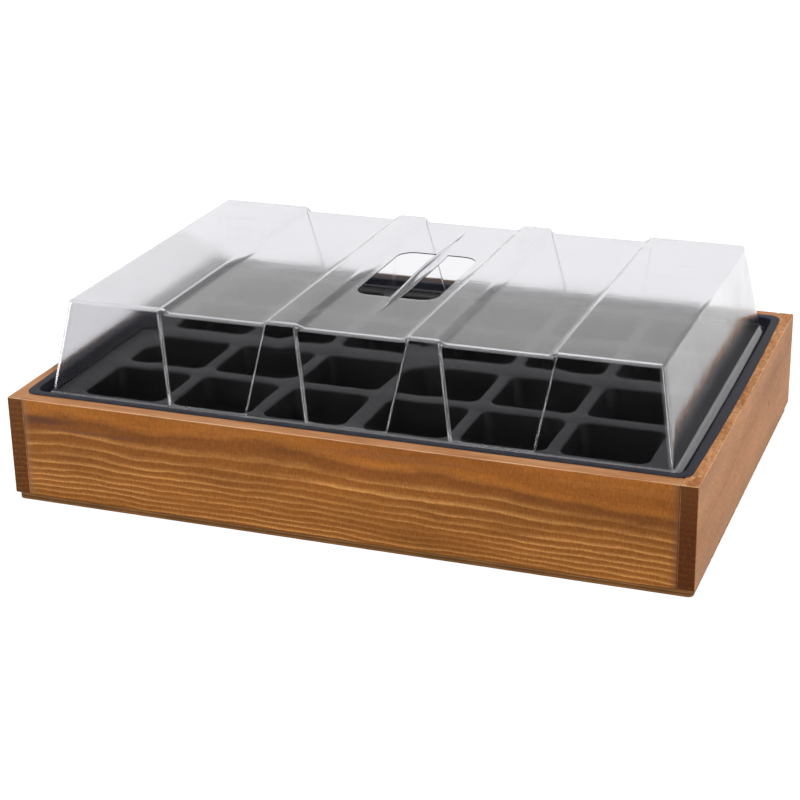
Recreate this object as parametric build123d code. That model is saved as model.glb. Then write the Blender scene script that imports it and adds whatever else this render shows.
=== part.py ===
from build123d import *
from math import sqrt
import os

# Seed starting box: a wooden box with a drip tray, a sheet of sowing cells and a clear dome.
# Lengths are millimetres. The origin is the middle of the underside of the base board,
# X runs along the box, the front is at negative Y and Z is up.

# Wooden box
box_length = 390.0
box_depth = 270.0
board_height = 58.0
side_board_thickness = 9.5
long_board_thickness = 9.5
board_edge_bevel = 0.5
base_thickness = 4.0
base_edge_inset = 1.2
base_rear_inset = 3.5
base_corner_radius = 3.0

# Flat-sided pins that hold the boards together
pin_width = 1.25
pin_thickness = 1.05
corner_pin_length = 25.0
corner_pin_sink = 1.0
corner_pin_edge_distance = 16.0
base_pin_length = 15.2
base_pin_head_width = 2.4
base_pin_head_thickness = 0.8
base_pin_setback = 6.0
base_pins_per_long_board = 4
base_pins_per_side_board = 2

# Drip tray: a formed sheet that hangs by its rim on the top of the boards
tray_sheet = 0.5
rim_end_lap = 3.1
rim_side_lap = 1.6
rim_end_bow = 2.0
rim_corner_radius = 7.0
rim_inner_bevel = 0.3
tray_end_gap = 0.9
tray_side_gap = 3.3
groove_depth = 8.9
groove_draft = 1.0
groove_corner_radius = 6.0
ledge_width = 5.2
pan_draft = 4.8
pan_corner_radius = 9.0
pan_base_gap = 0.4

# Cell insert: a formed sheet with rows of tapered cells, standing on the tray's ledge
insert_sheet = 0.6
groove_width = 4.8
field_below_rim = 4.3
field_corner_radius = 5.0
insert_edge_draft = 0.5
cell_columns = 6
cell_rows = 4
cell_end_margin = 16.9
cell_side_margin = 9.8
column_bar = 7.4
centre_column_bar = 11.0
row_bar = 9.4
centre_row_bar = 16.0
cell_corner_radius = 6.0
cell_draft = 5.0
cell_floor_gap = 0.5
drain_slot_width = 7.0

# Dome: a clear formed sheet whose foot stands in the tray's groove
dome_sheet = 0.6
foot_gap = 0.7
foot_height = 5.2
foot_lean = 0.5
skirt_height = 2.0
skirt_run = 3.4
end_shelf = 0.5
side_shelf = 0.3
dome_height = 51.5
end_wall_lean = 9.3
side_wall_lean = 10.3
dome_round = 2.0

# Raised end sections and ribs of the dome, and the sunk panels between them
end_section_foot = 73.4
end_section_top = 55.8
rib_centre = 40.7
rib_foot_width = 35.0
rib_top_width = 16.9
side_step = 1.75
side_step_run = 1.15
top_step = 2.4
top_step_run = 3.4
panel_top_round = 1.5

# Vent in the middle panel and the hollow ridge that crosses it
vent_length = 82.0
vent_width = 48.5
vent_corner_radius = 10.0
ridge_length = 164.0
ridge_width = 5.9
ridge_height = 4.8

# How far a cutting solid runs past the face that it cuts
overrun = 1.0

# Heights and sizes that follow from the values above
box_top = base_thickness + board_height
well_length = box_length - 2 * side_board_thickness
well_depth = box_depth - 2 * long_board_thickness

rim_top = box_top + tray_sheet
groove_floor = rim_top - groove_depth
mouth_length = well_length - 2 * (tray_end_gap + tray_sheet)
mouth_depth = well_depth - 2 * (tray_side_gap + tray_sheet)
groove_foot_length = mouth_length - 2 * groove_draft
groove_foot_depth = mouth_depth - 2 * groove_draft
pan_mouth_length = groove_foot_length - 2 * ledge_width
pan_mouth_depth = groove_foot_depth - 2 * ledge_width
pan_floor = base_thickness + pan_base_gap + tray_sheet

field_top = rim_top - field_below_rim
field_length = mouth_length - 2 * groove_width
field_depth = mouth_depth - 2 * groove_width
cell_floor = pan_floor + cell_floor_gap + insert_sheet

knee_height = groove_floor + foot_height
crease_height = knee_height + skirt_height
foot_length = groove_foot_length - 2 * foot_gap
foot_depth = groove_foot_depth - 2 * foot_gap
foot_corner_radius = groove_corner_radius - foot_gap
skirt_length = foot_length - 2 * (foot_lean + skirt_run)
skirt_depth = foot_depth - 2 * (foot_lean + skirt_run)
dome_foot_length = skirt_length - 2 * end_shelf
dome_foot_depth = skirt_depth - 2 * side_shelf
dome_top = crease_height + dome_height
panel_top = dome_top - top_step


def frustum(length, depth, foot, top, end_lean, side_lean):
    """Solid with flat leaning faces, its size given at the foot and drawn in by the leans at the top."""
    wedge = Wedge(length, top - foot, depth, end_lean, side_lean, length - end_lean, depth - side_lean)
    return Pos(0, 0, (foot + top) / 2) * Rot(90, 0, 0) * wedge


def eased_edges(edges, radius, hidden):
    """Edges rounded where a sheet shows its face, or bevelled to the depth of that round where it hides it."""
    if hidden:
        return chamfer(edges, (2 - sqrt(2)) * radius)
    return fillet(edges, radius)


def tapered_block(length, depth, foot, top, draft, radius, hidden):
    """Block with eased corners, its size given at the top and drawn in by the draft at the foot."""
    block = frustum(length - 2 * draft, depth - 2 * draft, foot, top, -draft, -draft)
    level_edges = block.faces().filter_by(Axis.Z).edges()
    return eased_edges(block.edges() - level_edges, radius, hidden)


def bay_middles(count, span):
    """Middles of the equal bays that a span centred on zero is divided into."""
    bay = span / count
    return [(index + 0.5) * bay - span / 2 for index in range(count)]


def corner_pins():
    """Two level pins at each corner, driven through the side boards into the long boards."""
    reach = box_length / 2 - corner_pin_sink
    pin_line = box_depth / 2 - long_board_thickness / 2
    heights = (base_thickness + corner_pin_edge_distance, box_top - corner_pin_edge_distance)
    pins = []
    for side in (-1, 1):
        for row in (-pin_line, pin_line):
            for height in heights:
                pin = Box(corner_pin_length, pin_thickness, pin_width)
                pins.append(Pos(side * (reach - corner_pin_length / 2), row, height) * pin)
    return pins


def base_pins():
    """Headed pins driven up through the base board into the four boards, flush with its underside."""
    standing = (Align.CENTER, Align.CENTER, Align.MIN)
    shank = Box(pin_width, pin_thickness, base_pin_length, align=standing)
    head = Box(base_pin_head_width, pin_thickness, base_pin_head_thickness, align=standing)
    corner_reach = corner_pin_sink + corner_pin_length
    long_line = box_depth / 2 - base_pin_setback
    side_line = box_length / 2 - base_pin_setback
    pins = []
    for place in bay_middles(base_pins_per_long_board, box_length - 2 * corner_reach):
        for line in (-long_line, long_line):
            pins.append(Pos(place, line, 0) * (shank + head))
    for place in bay_middles(base_pins_per_side_board, box_depth - 2 * corner_reach):
        for line in (-side_line, side_line):
            pins.append(Pos(line, place, 0) * Rot(0, 0, 90) * (shank + head))
    return pins


def pinned(board):
    """A board with the holes that its pins fill."""
    return board - corner_pins() - base_pins()


def eased(board):
    """A board with its sharp edges taken off."""
    return chamfer(board.edges(), board_edge_bevel)


def make_long_board(side):
    """Front board, side -1, or back board, side 1, butted between the side boards."""
    board = Box(well_length, long_board_thickness, board_height)
    place = side * (box_depth / 2 - long_board_thickness / 2)
    return pinned(Pos(0, place, base_thickness + board_height / 2) * eased(board))


def make_side_board(side):
    """Left board, side -1, or right board, side 1, as long as the box is deep."""
    board = Box(side_board_thickness, box_depth, board_height)
    place = side * (box_length / 2 - side_board_thickness / 2)
    return pinned(Pos(place, 0, base_thickness + board_height / 2) * eased(board))


def make_base_board():
    """Thin board under the four boards, set in from their faces."""
    length = box_length - 2 * base_edge_inset
    depth = box_depth - base_edge_inset - base_rear_inset
    shift = (base_edge_inset - base_rear_inset) / 2
    outline = Pos(0, shift) * RectangleRounded(length, depth, base_corner_radius)
    return pinned(extrude(outline, base_thickness))


def rim_outline():
    """Outline of the tray's rim, with straight long sides and gently bowed ends."""
    half_length = well_length / 2 + rim_end_lap
    half_depth = well_depth / 2 + rim_side_lap
    front = Line((-half_length, -half_depth), (half_length, -half_depth))
    right = ThreePointArc((half_length, -half_depth), (half_length + rim_end_bow, 0), (half_length, half_depth))
    back = Line((half_length, half_depth), (-half_length, half_depth))
    left = ThreePointArc((-half_length, half_depth), (-half_length - rim_end_bow, 0), (-half_length, -half_depth))
    outline = make_face([front, right, back, left])
    return fillet(outline.vertices(), rim_corner_radius)


def tray_space(skin):
    """Space inside the tray, grown outwards and downwards by the thickness of a skin."""
    groove = tapered_block(
        mouth_length + 2 * skin, mouth_depth + 2 * skin, groove_floor - skin, rim_top,
        groove_draft, groove_corner_radius + skin, skin > 0)
    pan = tapered_block(
        pan_mouth_length + 2 * skin, pan_mouth_depth + 2 * skin, pan_floor - skin, groove_floor,
        pan_draft, pan_corner_radius + skin, skin > 0)
    return groove + pan


def make_drip_tray():
    """Pan with a groove round its mouth and a flat rim, formed from one sheet."""
    rim = Pos(0, 0, box_top) * extrude(rim_outline(), tray_sheet)
    tray = rim + tray_space(tray_sheet) - tray_space(0)
    lips = tray.faces().sort_by(Axis.Z)[-1].inner_wires()[0].edges()
    return chamfer(lips, rim_inner_bevel)


def cell_lines(count, length, margin, bar, centre_bar):
    """Width of a cell and the middles of a row of cells, with a wider bar at the centre."""
    bars = [bar] * (count - 1)
    if count % 2 == 0:
        bars[count // 2 - 1] = centre_bar
    width = (length - 2 * margin - sum(bars)) / count
    place = margin + width / 2 - length / 2
    middles = [place]
    for gap in bars:
        place = place + width + gap
        middles.append(place)
    return width, middles


def cell_space(width, depth, skin):
    """Space inside one cell, grown by the thickness of a skin."""
    return tapered_block(
        width + 2 * skin, depth + 2 * skin, cell_floor - skin, field_top,
        cell_draft, cell_corner_radius + skin, skin > 0)


def field_space(skin):
    """Space under the raised field, grown by the thickness of a skin."""
    inset = skin - insert_sheet
    return tapered_block(
        field_length + 2 * inset, field_depth + 2 * inset, groove_floor, field_top + inset,
        -insert_edge_draft, field_corner_radius + inset, skin == 0)


def make_cell_insert():
    """Raised field with a turned-down edge and a grid of tapered, drained cells."""
    width, columns = cell_lines(cell_columns, field_length, cell_end_margin, column_bar, centre_column_bar)
    depth, rows = cell_lines(cell_rows, field_depth, cell_side_margin, row_bar, centre_row_bar)
    places = [Pos(x, y, 0) for x in columns for y in rows]
    drain = Pos(0, 0, cell_floor) * Box(drain_slot_width, drain_slot_width, 4 * insert_sheet)
    shell = field_space(insert_sheet) - field_space(0)
    shell = shell + [place * cell_space(width, depth, insert_sheet) for place in places]
    shell = shell - [place * cell_space(width, depth, 0) for place in places]
    return shell - [place * drain for place in places]


def dome_block(end_cut, side_cut, top_cut, skin):
    """Block inside the dome's leaning walls, cut back at its ends, sides and top, less a skin."""
    foot = crease_height - 2 * dome_sheet
    top = dome_top - top_cut - skin
    foot_climb = (foot - crease_height) / dome_height
    climb = (top - foot) / dome_height
    length = dome_foot_length - 2 * (end_cut + skin + foot_climb * end_wall_lean)
    depth = dome_foot_depth - 2 * (side_cut + skin + foot_climb * side_wall_lean)
    return frustum(length, depth, foot, top, climb * end_wall_lean, climb * side_wall_lean)


def step_planes(foot_reach, top_reach, side, skin):
    """Planes of the three steps beside one edge of a raised zone, moved into the zone by a skin.

    The edge stands at foot_reach on the crease and at top_reach on the top. The steps, at the top, the
    front and the back, face along X on the side given.
    """
    planes = [Plane((top_reach, 0, dome_top), z_dir=(side * top_step, 0, top_step_run))]
    for face in (-1, 1):
        foot = Vector(foot_reach, face * dome_foot_depth / 2, crease_height)
        top = Vector(top_reach, face * (dome_foot_depth / 2 - side_wall_lean), dome_top)
        inwards = Vector(side * side_step_run, -face * side_step, 0)
        planes.append(Plane(top, z_dir=inwards.cross(top - foot) * (-face * side)))
    return [plane.offset(-skin) for plane in planes]


def raised_zone(block, edges, skin):
    """Part of a block between the steps beside the edges given."""
    for foot_reach, top_reach, side in edges:
        for plane in step_planes(foot_reach, top_reach, side, skin):
            block = split(block, bisect_by=plane, keep=Keep.BOTTOM)
    return block


def dome_body(skin):
    """Body of the dome above its foot: sunk panels, raised ribs and raised end sections."""
    panels = dome_block(end_section_foot / 2, side_step, top_step, skin)
    long_edges = panels.faces().sort_by(Axis.Z)[-1].edges().filter_by(Axis.X)
    panels = eased_edges(long_edges, panel_top_round - skin, skin > 0)
    raised = dome_block(0, 0, 0, skin)
    foot_edges = raised.faces().sort_by(Axis.Z)[0].edges()
    raised = eased_edges(raised.edges() - foot_edges, dome_round - skin, skin > 0)
    rib_edges = [
        (rib_centre + side * rib_foot_width / 2, rib_centre + side * rib_top_width / 2, side)
        for side in (-1, 1)]
    section_foot = dome_foot_length / 2 - end_section_foot
    section_top = dome_foot_length / 2 - end_wall_lean - end_section_top
    body = panels
    for edges in (rib_edges, [(section_foot, section_top, -1)]):
        zone = raised_zone(raised, edges, skin)
        body = body + zone + mirror(zone, Plane.YZ)
    return body


def skirt_space(skin):
    """Flared foot of the dome, less a skin."""
    knee = knee_height - skin * foot_lean / foot_height
    foot = tapered_block(
        foot_length - 2 * (foot_lean + skin), foot_depth - 2 * (foot_lean + skin), groove_floor, knee,
        -foot_lean, foot_corner_radius - skin, skin > 0)
    flare = tapered_block(
        skirt_length - 2 * skin, skirt_depth - 2 * skin, knee, crease_height - skin,
        -skirt_run, foot_corner_radius - skin, skin > 0)
    return foot + flare


def ridge(skin):
    """Lens-shaped ridge where two wide cones meet, less a skin, standing on the middle panel."""
    slope = ridge_width / 2 / ridge_height
    draw = skin * sqrt(1 + slope ** 2)
    half_width = ridge_width / 2 - draw
    sweep_radius = (ridge_length ** 2 / 4 + ridge_width ** 2 / 4) / ridge_width
    base_drop = dome_sheet + overrun
    low_radius = sweep_radius - draw + slope * base_drop
    height = base_drop + half_width / slope + overrun
    cone = Cone(low_radius, low_radius - slope * height, height, align=(Align.CENTER, Align.CENTER, Align.MIN))
    offset = sweep_radius - ridge_width / 2
    level = panel_top - base_drop
    return (Pos(-offset, 0, level) * cone) & (Pos(offset, 0, level) * cone)


def vent_cut():
    """Rounded opening in the middle panel."""
    opening = extrude(RectangleRounded(vent_width, vent_length, vent_corner_radius), 4 * dome_sheet, both=True)
    return Pos(0, 0, panel_top) * opening


def make_dome():
    """Clear cover with a flared foot, and a vent that a hollow ridge splits in two."""
    above_panel = Pos(0, 0, panel_top - dome_sheet) * Box(
        ridge_width, ridge_length, 2 * ridge_height, align=(Align.CENTER, Align.CENTER, Align.MIN))
    shell = skirt_space(0) + dome_body(0)
    shell = shell - skirt_space(dome_sheet) - dome_body(dome_sheet)
    shell = shell - vent_cut()
    return shell + (ridge(0) & above_panel) - ridge(dome_sheet)


parts = {
    "front_board": make_long_board(-1),
    "back_board": make_long_board(1),
    "left_side_board": make_side_board(-1),
    "right_side_board": make_side_board(1),
    "base_board": make_base_board(),
    "corner_pins": Compound(children=corner_pins()),
    "base_pins": Compound(children=base_pins()),
    "drip_tray": make_drip_tray(),
    "cell_insert": make_cell_insert(),
    "dome": make_dome(),
}

os.makedirs("parts", exist_ok=True)
for name, part in parts.items():
    export_step(part, "parts/" + name + ".step")
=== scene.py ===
"""Looks of the seed starting box: wooden box, drip tray, sheet of sowing cells and clear dome."""

import contextlib
import math

import bmesh
import bpy
from mathutils import Matrix, Vector
from mathutils.geometry import delaunay_2d_cdt


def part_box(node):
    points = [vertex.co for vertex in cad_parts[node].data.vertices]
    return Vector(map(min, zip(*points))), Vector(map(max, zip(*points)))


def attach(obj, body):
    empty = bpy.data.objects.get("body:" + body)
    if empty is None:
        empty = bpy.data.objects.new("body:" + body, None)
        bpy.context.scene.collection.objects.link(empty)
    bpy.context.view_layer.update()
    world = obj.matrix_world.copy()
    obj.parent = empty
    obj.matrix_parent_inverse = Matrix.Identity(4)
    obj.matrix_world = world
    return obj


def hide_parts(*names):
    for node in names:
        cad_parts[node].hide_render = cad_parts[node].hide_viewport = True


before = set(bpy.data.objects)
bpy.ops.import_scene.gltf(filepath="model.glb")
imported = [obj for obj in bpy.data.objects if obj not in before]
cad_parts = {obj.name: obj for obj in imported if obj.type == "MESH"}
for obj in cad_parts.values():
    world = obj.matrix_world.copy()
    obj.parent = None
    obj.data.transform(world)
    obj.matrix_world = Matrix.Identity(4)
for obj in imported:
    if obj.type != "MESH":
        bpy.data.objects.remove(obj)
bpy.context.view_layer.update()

MM = 0.001

# Drip tray, in millimetres
TRAY_SHEET = 0.5
RIM_RADIUS = 7.0
RIM_END_BOW = 1.9
MOUTH_BOW = 0.6
GROOVE_DEPTH = 8.9
GROOVE_RADIUS = 6.0
GROOVE_DRAFT = 1.0
LEDGE_WIDTH = 5.2
PAN_DRAFT = 4.8
PAN_RADIUS = 9.0
PAN_FLOOR = 4.9

# Cell insert
INSERT_SHEET = 0.6
INSERT_TO_MOUTH = 4.3
FIELD_TO_MOUTH = 4.8
FIELD_RADIUS = 5.0
FIELD_EDGE_DRAFT = 0.5
FIELD_EDGE_ROUND = 1.2
CELL_COLUMNS = 6
CELL_ROWS = 4
CELL_END_MARGIN = 16.9
CELL_SIDE_MARGIN = 9.8
COLUMN_BAR = 7.4
CENTRE_COLUMN_BAR = 11.0
ROW_BAR = 9.4
CENTRE_ROW_BAR = 16.0
CELL_RADIUS = 6.0
CELL_DRAFT = 5.0
CELL_MOUTH_ROUND = 1.3
MOUTH_FLARE = 0.8
CELL_FLOOR_ROUND = 3.0
CELL_FLOOR = 6.0
DRAIN_SLOT = 7.0

# Dome
DOME_SHEET = 0.6
DOME_ABOVE_GROOVE = 58.7
FOOT_HEIGHT = 4.5
FOOT_LEAN = 0.5
FOOT_RADIUS = 5.3
FOOT_BOW = 1.0
SKIRT_HEIGHT = 2.0
SKIRT_RUN = 3.4
END_SHELF = 0.5
SIDE_SHELF = 0.3
WALL_LEAN = (9.3, 10.3)
LEAN_BELOW_ROUND = 0.965
DOME_RADIUS = 3.0
TOP_ROUND = 2.6
TOP_ROUND_STEPS = 7
END_SECTION_FOOT = 73.4
END_SECTION_TOP = 55.8
RIB_CENTRE = 40.7
RIB_FOOT_WIDTH = 35.0
RIB_TOP_WIDTH = 16.9
SIDE_STEP = 1.75
SIDE_STEP_RUN = 1.15
TOP_STEP = 2.4
TOP_STEP_RUN = 3.4
RIDGE_LENGTH = 164.0
RIDGE_WIDTH = 6.6
RIDGE_HEIGHT = 4.0
RIDGE_SHIFT = 1.4
RIDGE_HIGHEST = 8.0
RIDGE_HUMP = 74.0
VENT_LENGTH = 82.0
VENT_WIDTH = 48.5
VENT_RADIUS = 10.0


def half_sizes(node):
    """Half the length and half the depth of a CAD node that lies over the origin."""
    return tuple(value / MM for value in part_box(node)[1][:2])


def inset_by(half, ends, sides):
    """Half sizes drawn in by so much at the ends and at the sides."""
    return half[0] - ends, half[1] - sides


RIM_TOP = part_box("drip_tray")[1][2] / MM
FIELD_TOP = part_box("cell_insert")[1][2] / MM
GROOVE_FLOOR = RIM_TOP - GROOVE_DEPTH
CREASE = GROOVE_FLOOR + FOOT_HEIGHT + SKIRT_HEIGHT
DOME_TOP = GROOVE_FLOOR + DOME_ABOVE_GROOVE
RIM_HALF = inset_by(half_sizes("drip_tray"), RIM_END_BOW, 0.0)
MOUTH_HALF = inset_by(half_sizes("cell_insert"), -INSERT_TO_MOUTH, -INSERT_TO_MOUTH)
FIELD_HALF = inset_by(MOUTH_HALF, FIELD_TO_MOUTH, FIELD_TO_MOUTH)
FOOT_HALF = half_sizes("dome")
WALL_HALF = inset_by(FOOT_HALF, FOOT_LEAN + SKIRT_RUN + END_SHELF, FOOT_LEAN + SKIRT_RUN + SIDE_SHELF)


# Shader nodes

work = {}


def rgba(colour):
    """Opaque colour from a grey level or from its red, green and blue."""
    return (*colour, 1.0) if isinstance(colour, tuple) else (colour, colour, colour, 1.0)


def start_tree(tree):
    """New nodes go into this tree from here on."""
    tree.nodes.clear()
    work["tree"] = tree


def add_node(kind, inputs=(), **settings):
    """A new node with its settings and inputs, where an input is a value or another node's socket."""
    made = work["tree"].nodes.new(kind if "Node" in kind else "ShaderNode" + kind)
    for name, value in settings.items():
        setattr(made, name, value)
    for name, value in dict(inputs).items():
        socket = made.inputs[name]
        if isinstance(value, bpy.types.NodeSocket):
            work["tree"].links.new(value, socket)
        else:
            socket.default_value = rgba(value) if socket.type == "RGBA" else value
    return made


def result(kind, inputs=(), **settings):
    """First output of a new node."""
    return add_node(kind, inputs, **settings).outputs[0]


def maths(operation, first, second=0.0, third=0.0):
    """Result of one sum on numbers or sockets."""
    return result("Math", {0: first, 1: second, 2: third}, operation=operation)


def scaled(value, start, end, first=0.0, last=1.0, kind="LINEAR"):
    """Value taken from start and end to first and last, and held beyond them."""
    return result(
        "MapRange", {"Value": value, "From Min": start, "From Max": end, "To Min": first, "To Max": last},
        interpolation_type=kind)


def parts(vector):
    """The x, y and z of a vector."""
    return add_node("SeparateXYZ", {0: vector}).outputs


def blend(factor, first, second, mode="MIX"):
    """Mix of two colours."""
    return add_node("Mix", {0: factor, 6: first, 7: second}, data_type="RGBA", blend_type=mode).outputs[2]


def ramp(factor, stops):
    """Colour ramp through (position, colour) stops."""
    made = add_node("ValToRGB", {"Fac": factor})
    elements = made.color_ramp.elements
    while len(elements) < len(stops):
        elements.new(1.0)
    for element, (position, colour) in zip(elements, stops):
        element.position = position
        element.color = rgba(colour)
    return made.outputs["Color"]


def grained(share, colour, pattern, *stops):
    """Colour made darker and lighter by a pattern, whose grey stops are even at a half."""
    return blend(share, colour, ramp(pattern, stops), "OVERLAY")


def noise(waves, detail, roughness, seed):
    """Noise with so many waves a metre, one number or one for each axis; seed moves it in the pattern."""
    moved = result("Mapping", {
        "Vector": place(), "Scale": waves if isinstance(waves, tuple) else (waves, waves, waves),
        "Location": (seed, seed * 0.7, seed * 1.3)})
    return result("TexNoise", {"Vector": moved, "Scale": 1.0, "Detail": detail, "Roughness": roughness})


def bumped(height, strength, distance):
    """Normal of a surface with a fine relief, its depth given in millimetres."""
    return result("Bump", {"Height": height, "Strength": strength, "Distance": distance * MM})


def new_material(name):
    """Empty node material, whose tree is the one under work from here on."""
    made = bpy.data.materials.new(name)
    made.use_nodes = True
    start_tree(made.node_tree)
    add_node("TexCoord", name="place")
    return made


def place():
    """Object coordinates in the material under work."""
    return work["tree"].nodes["place"].outputs["Object"]


def finished(made, kind, inputs):
    """The material, ended with its surface shader."""
    add_node("OutputMaterial", {"Surface": result(kind, inputs)})
    return made


# Wood

RING_SWAY = 6.3
RING_RIPPLE = 1.35
# Pale colour of the eased upper edges: rubbed wear with a painted highlight
PALE_EDGE_WEAR_AND_HIGHLIGHT = (0.74, 0.48, 0.3)
HEAD_TINT = (0.17, 0.06, 0.014)
PLYWOOD_THICKNESS = 4.0


def wood_material(name, length_axis, pith, drift, rings, zones, line_colour, line_share, end_colours,
                  top_colours, seed, grain=0.3, marks=(), top_marks_and_shade=()):
    """Stained softwood: growth rings round a pith, darker end grain and pale upper edges, partly rubbed wear
    and partly painted highlight.

    The rings are circles round the pith, given as its height and its place through the board. The drift
    moves its height with the way along the board, and its place through it with that way and its square.
    rings gives the first distance, the rings per metre there and how that grows. The zones are (distance
    from the pith, colour); a thin line of the line's colour ends each ring. marks paints this board's own
    streaks and knots on its faces. The top's marks paint torn fibres on the right board's top, and painted
    shade on the tops of the back and left boards.
    """
    made = new_material(name)
    axes = parts(place())
    along, depth = axes[length_axis], axes[1 - length_axis]

    def pattern(waves_along, waves_across, detail, roughness, shift=0.0):
        """Noise with its own waves per metre along the board and across it."""
        waves = [waves_across] * 3
        waves[length_axis] = waves_along
        return noise(tuple(waves), detail, roughness, seed + shift)

    up = maths("SUBTRACT", axes[2], maths("MULTIPLY_ADD", along, drift[0], pith[0]))
    bent = maths("MULTIPLY_ADD", maths("MULTIPLY", along, along), drift[2], pith[1])
    through = maths("SUBTRACT", depth, maths("MULTIPLY_ADD", along, drift[1], bent))
    reach = maths("SQRT", maths("MULTIPLY_ADD", up, up, maths("MULTIPLY", through, through)))
    for waver, size in ((pattern(14.0, 26.0, 2.0, 0.5), RING_SWAY),
                        (pattern(75.0, 150.0, 2.0, 0.5, 3.1), RING_RIPPLE)):
        reach = maths("MULTIPLY_ADD", maths("SUBTRACT", waver, 0.5), size * MM, reach)
    beyond = maths("SUBTRACT", reach, rings[0])
    count = maths("MULTIPLY", beyond, maths("MULTIPLY_ADD", beyond, rings[2], rings[1]))
    ring = maths("FRACT", count)
    line = ramp(ring, [(0.0, 0.25), (0.08, 0.0), (0.5, 0.08), (0.8, 0.7), (0.9, 1.0), (1.0, 0.3)])
    nearest, furthest = zones[0][0], zones[-1][0]
    zone = scaled(reach, nearest, furthest)

    def zoned(table):
        """Ramp over the zones through (distance from the pith, colour) pairs."""
        return ramp(zone, [((distance - nearest) / (furthest - nearest), value) for distance, value in table])

    faint = ramp(pattern(12.0, 220.0, 2.0, 0.5, 9.0), [(0.36, 0.35), (0.56, 1.0)])
    line_strength = maths("MULTIPLY", maths("MULTIPLY", line, zoned(line_share)), faint)
    face = blend(line_strength, zoned(zones), line_colour)

    fibre = pattern(60.0, 1500.0, 3.0, 0.65)
    hair = pattern(1300.0, 420.0, 4.0, 0.75, 1.0)
    face = grained(0.8, face, pattern(9.0, 30.0, 3.0, 0.6, 7.7), (0.3, 0.38), (0.5, 0.5), (0.7, 0.62))
    face = grained(0.6 * grain, face, fibre, (0.33, 0.3), (0.66, 0.68))
    face = grained(grain, face, hair, (0.34, 0.22), (0.66, 0.74))
    for paint in marks:
        face = paint(axes, face)

    facing = parts(add_node("NewGeometry").outputs["True Normal"])
    end = maths("GREATER_THAN", maths("ABSOLUTE", facing[length_axis]), 0.75)
    pores = noise(600.0, 3.0, 0.7, seed)
    end_face = grained(0.75, ramp(ring, end_colours), pores, (0.3, 0.25), (0.7, 0.66))
    end_face = blend(scaled(axes[2], 0.034, 0.058, 0.0, 0.35), end_face, HEAD_TINT)
    rubbed = pattern(22.0, 130.0, 4.0, 0.65, 5.0)
    top_face = grained(0.5, ramp(rubbed, top_colours), fibre, (0.3, 0.3), (0.7, 0.66))
    # Pale line on the eased upper edges, placed by which way the bevel faces: rubbed wear with a painted
    # highlight
    edge_wear_and_highlight = ramp(facing[2], [(0.12, 0.0), (0.35, 1.0), (0.8, 1.0), (0.96, 0.0)])
    edge_wear_and_highlight = maths("MULTIPLY", edge_wear_and_highlight, ramp(rubbed, [(0.3, 0.25), (0.6, 0.85)]))
    top_face = blend(edge_wear_and_highlight, top_face, PALE_EDGE_WEAR_AND_HIGHLIGHT)
    # The top's marks bring in the right board's torn fibres and the painted shade on the back and left boards'
    # tops
    for paint in top_marks_and_shade:
        top_face = paint(axes, top_face)
    colour = blend(scaled(facing[2], 0.15, 0.6), face, top_face)

    height = maths("MULTIPLY_ADD", line, 0.3, maths("MULTIPLY_ADD", fibre, 0.6, hair))
    return finished(made, "BsdfPrincipled", {
        "Base Color": blend(end, colour, end_face), "Roughness": scaled(fibre, 0.0, 1.0, 0.5, 0.68),
        "Normal": bumped(height, 0.25, 0.3), "Specular IOR Level": 0.12})


def spot(centre, reach, inner, wobble, seed, share, tint):
    """Paints a soft-edged, uneven ellipsoid of a tint on a board; centre and reach are in millimetres."""
    def paint(axes, face):
        centred = result("Mapping", {
            "Vector": place(), "Location": [-middle / size for middle, size in zip(centre, reach)],
            "Scale": [1.0 / (size * MM) for size in reach]})
        distance = add_node("VectorMath", {0: centred}, operation="LENGTH").outputs["Value"]
        rough = noise((90.0, 90.0, 260.0), 3.0, 0.6, seed)
        distance = maths("MULTIPLY_ADD", maths("SUBTRACT", rough, 0.5), 2.0 * wobble, distance)
        mask = scaled(distance, inner, 1.0, 1.0, 0.0, "SMOOTHSTEP")
        return blend(maths("MULTIPLY", mask, share), face, tint)
    return paint


def tint_band(axis, start, end, first, last, tint):
    """Paints a tint whose share goes from first to last between two places, in millimetres, along an axis; it
    paints real stains on the front board and painted shade on the back and left boards' tops.
    """
    def paint(axes, face):
        return blend(scaled(axes[axis], start * MM, end * MM, first, last), face, tint)
    return paint


def torn_fibres(stops, tint):
    """Paints short torn fibres of a tint."""
    def paint(axes, face):
        return blend(ramp(noise((420.0, 230.0, 420.0), 4.0, 0.7, 51.0), stops), face, tint)
    return paint


def plywood_material():
    """Thin stained plywood whose edge shows its plies."""
    made = new_material("base_plywood")
    axes = parts(place())
    facing = parts(add_node("NewGeometry").outputs["Normal"])
    wander = noise((30.0, 30.0, 200.0), 3.0, 0.6, 2.0)
    ply = maths("MULTIPLY_ADD", wander, 0.12, maths("DIVIDE", axes[2], PLYWOOD_THICKNESS * MM))
    edge = ramp(ply, [
        (0.05, (0.12, 0.05, 0.014)), (0.3, (0.27, 0.125, 0.04)), (0.42, (0.16, 0.07, 0.02)),
        (0.62, (0.12, 0.05, 0.014)), (0.72, (0.29, 0.14, 0.048)), (1.0, (0.2, 0.09, 0.028))])
    grain = noise((12.0, 260.0, 260.0), 4.0, 0.6, 4.0)
    face = ramp(grain, [(0.3, (0.24, 0.13, 0.062)), (0.55, (0.36, 0.21, 0.105)), (0.75, (0.42, 0.26, 0.14))])
    flat = maths("GREATER_THAN", maths("ABSOLUTE", facing[2]), 0.7)
    blotch = noise(35.0, 4.0, 0.65, 9.0)
    return finished(made, "BsdfPrincipled", {
        "Base Color": grained(0.7, blend(flat, edge, face), blotch, (0.3, 0.33), (0.7, 0.66)),
        "Roughness": 0.68, "Normal": bumped(grain, 0.3, 0.4), "Specular IOR Level": 0.12})


# Plastics and steel

DUST = (0.22, 0.21, 0.2)


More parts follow.
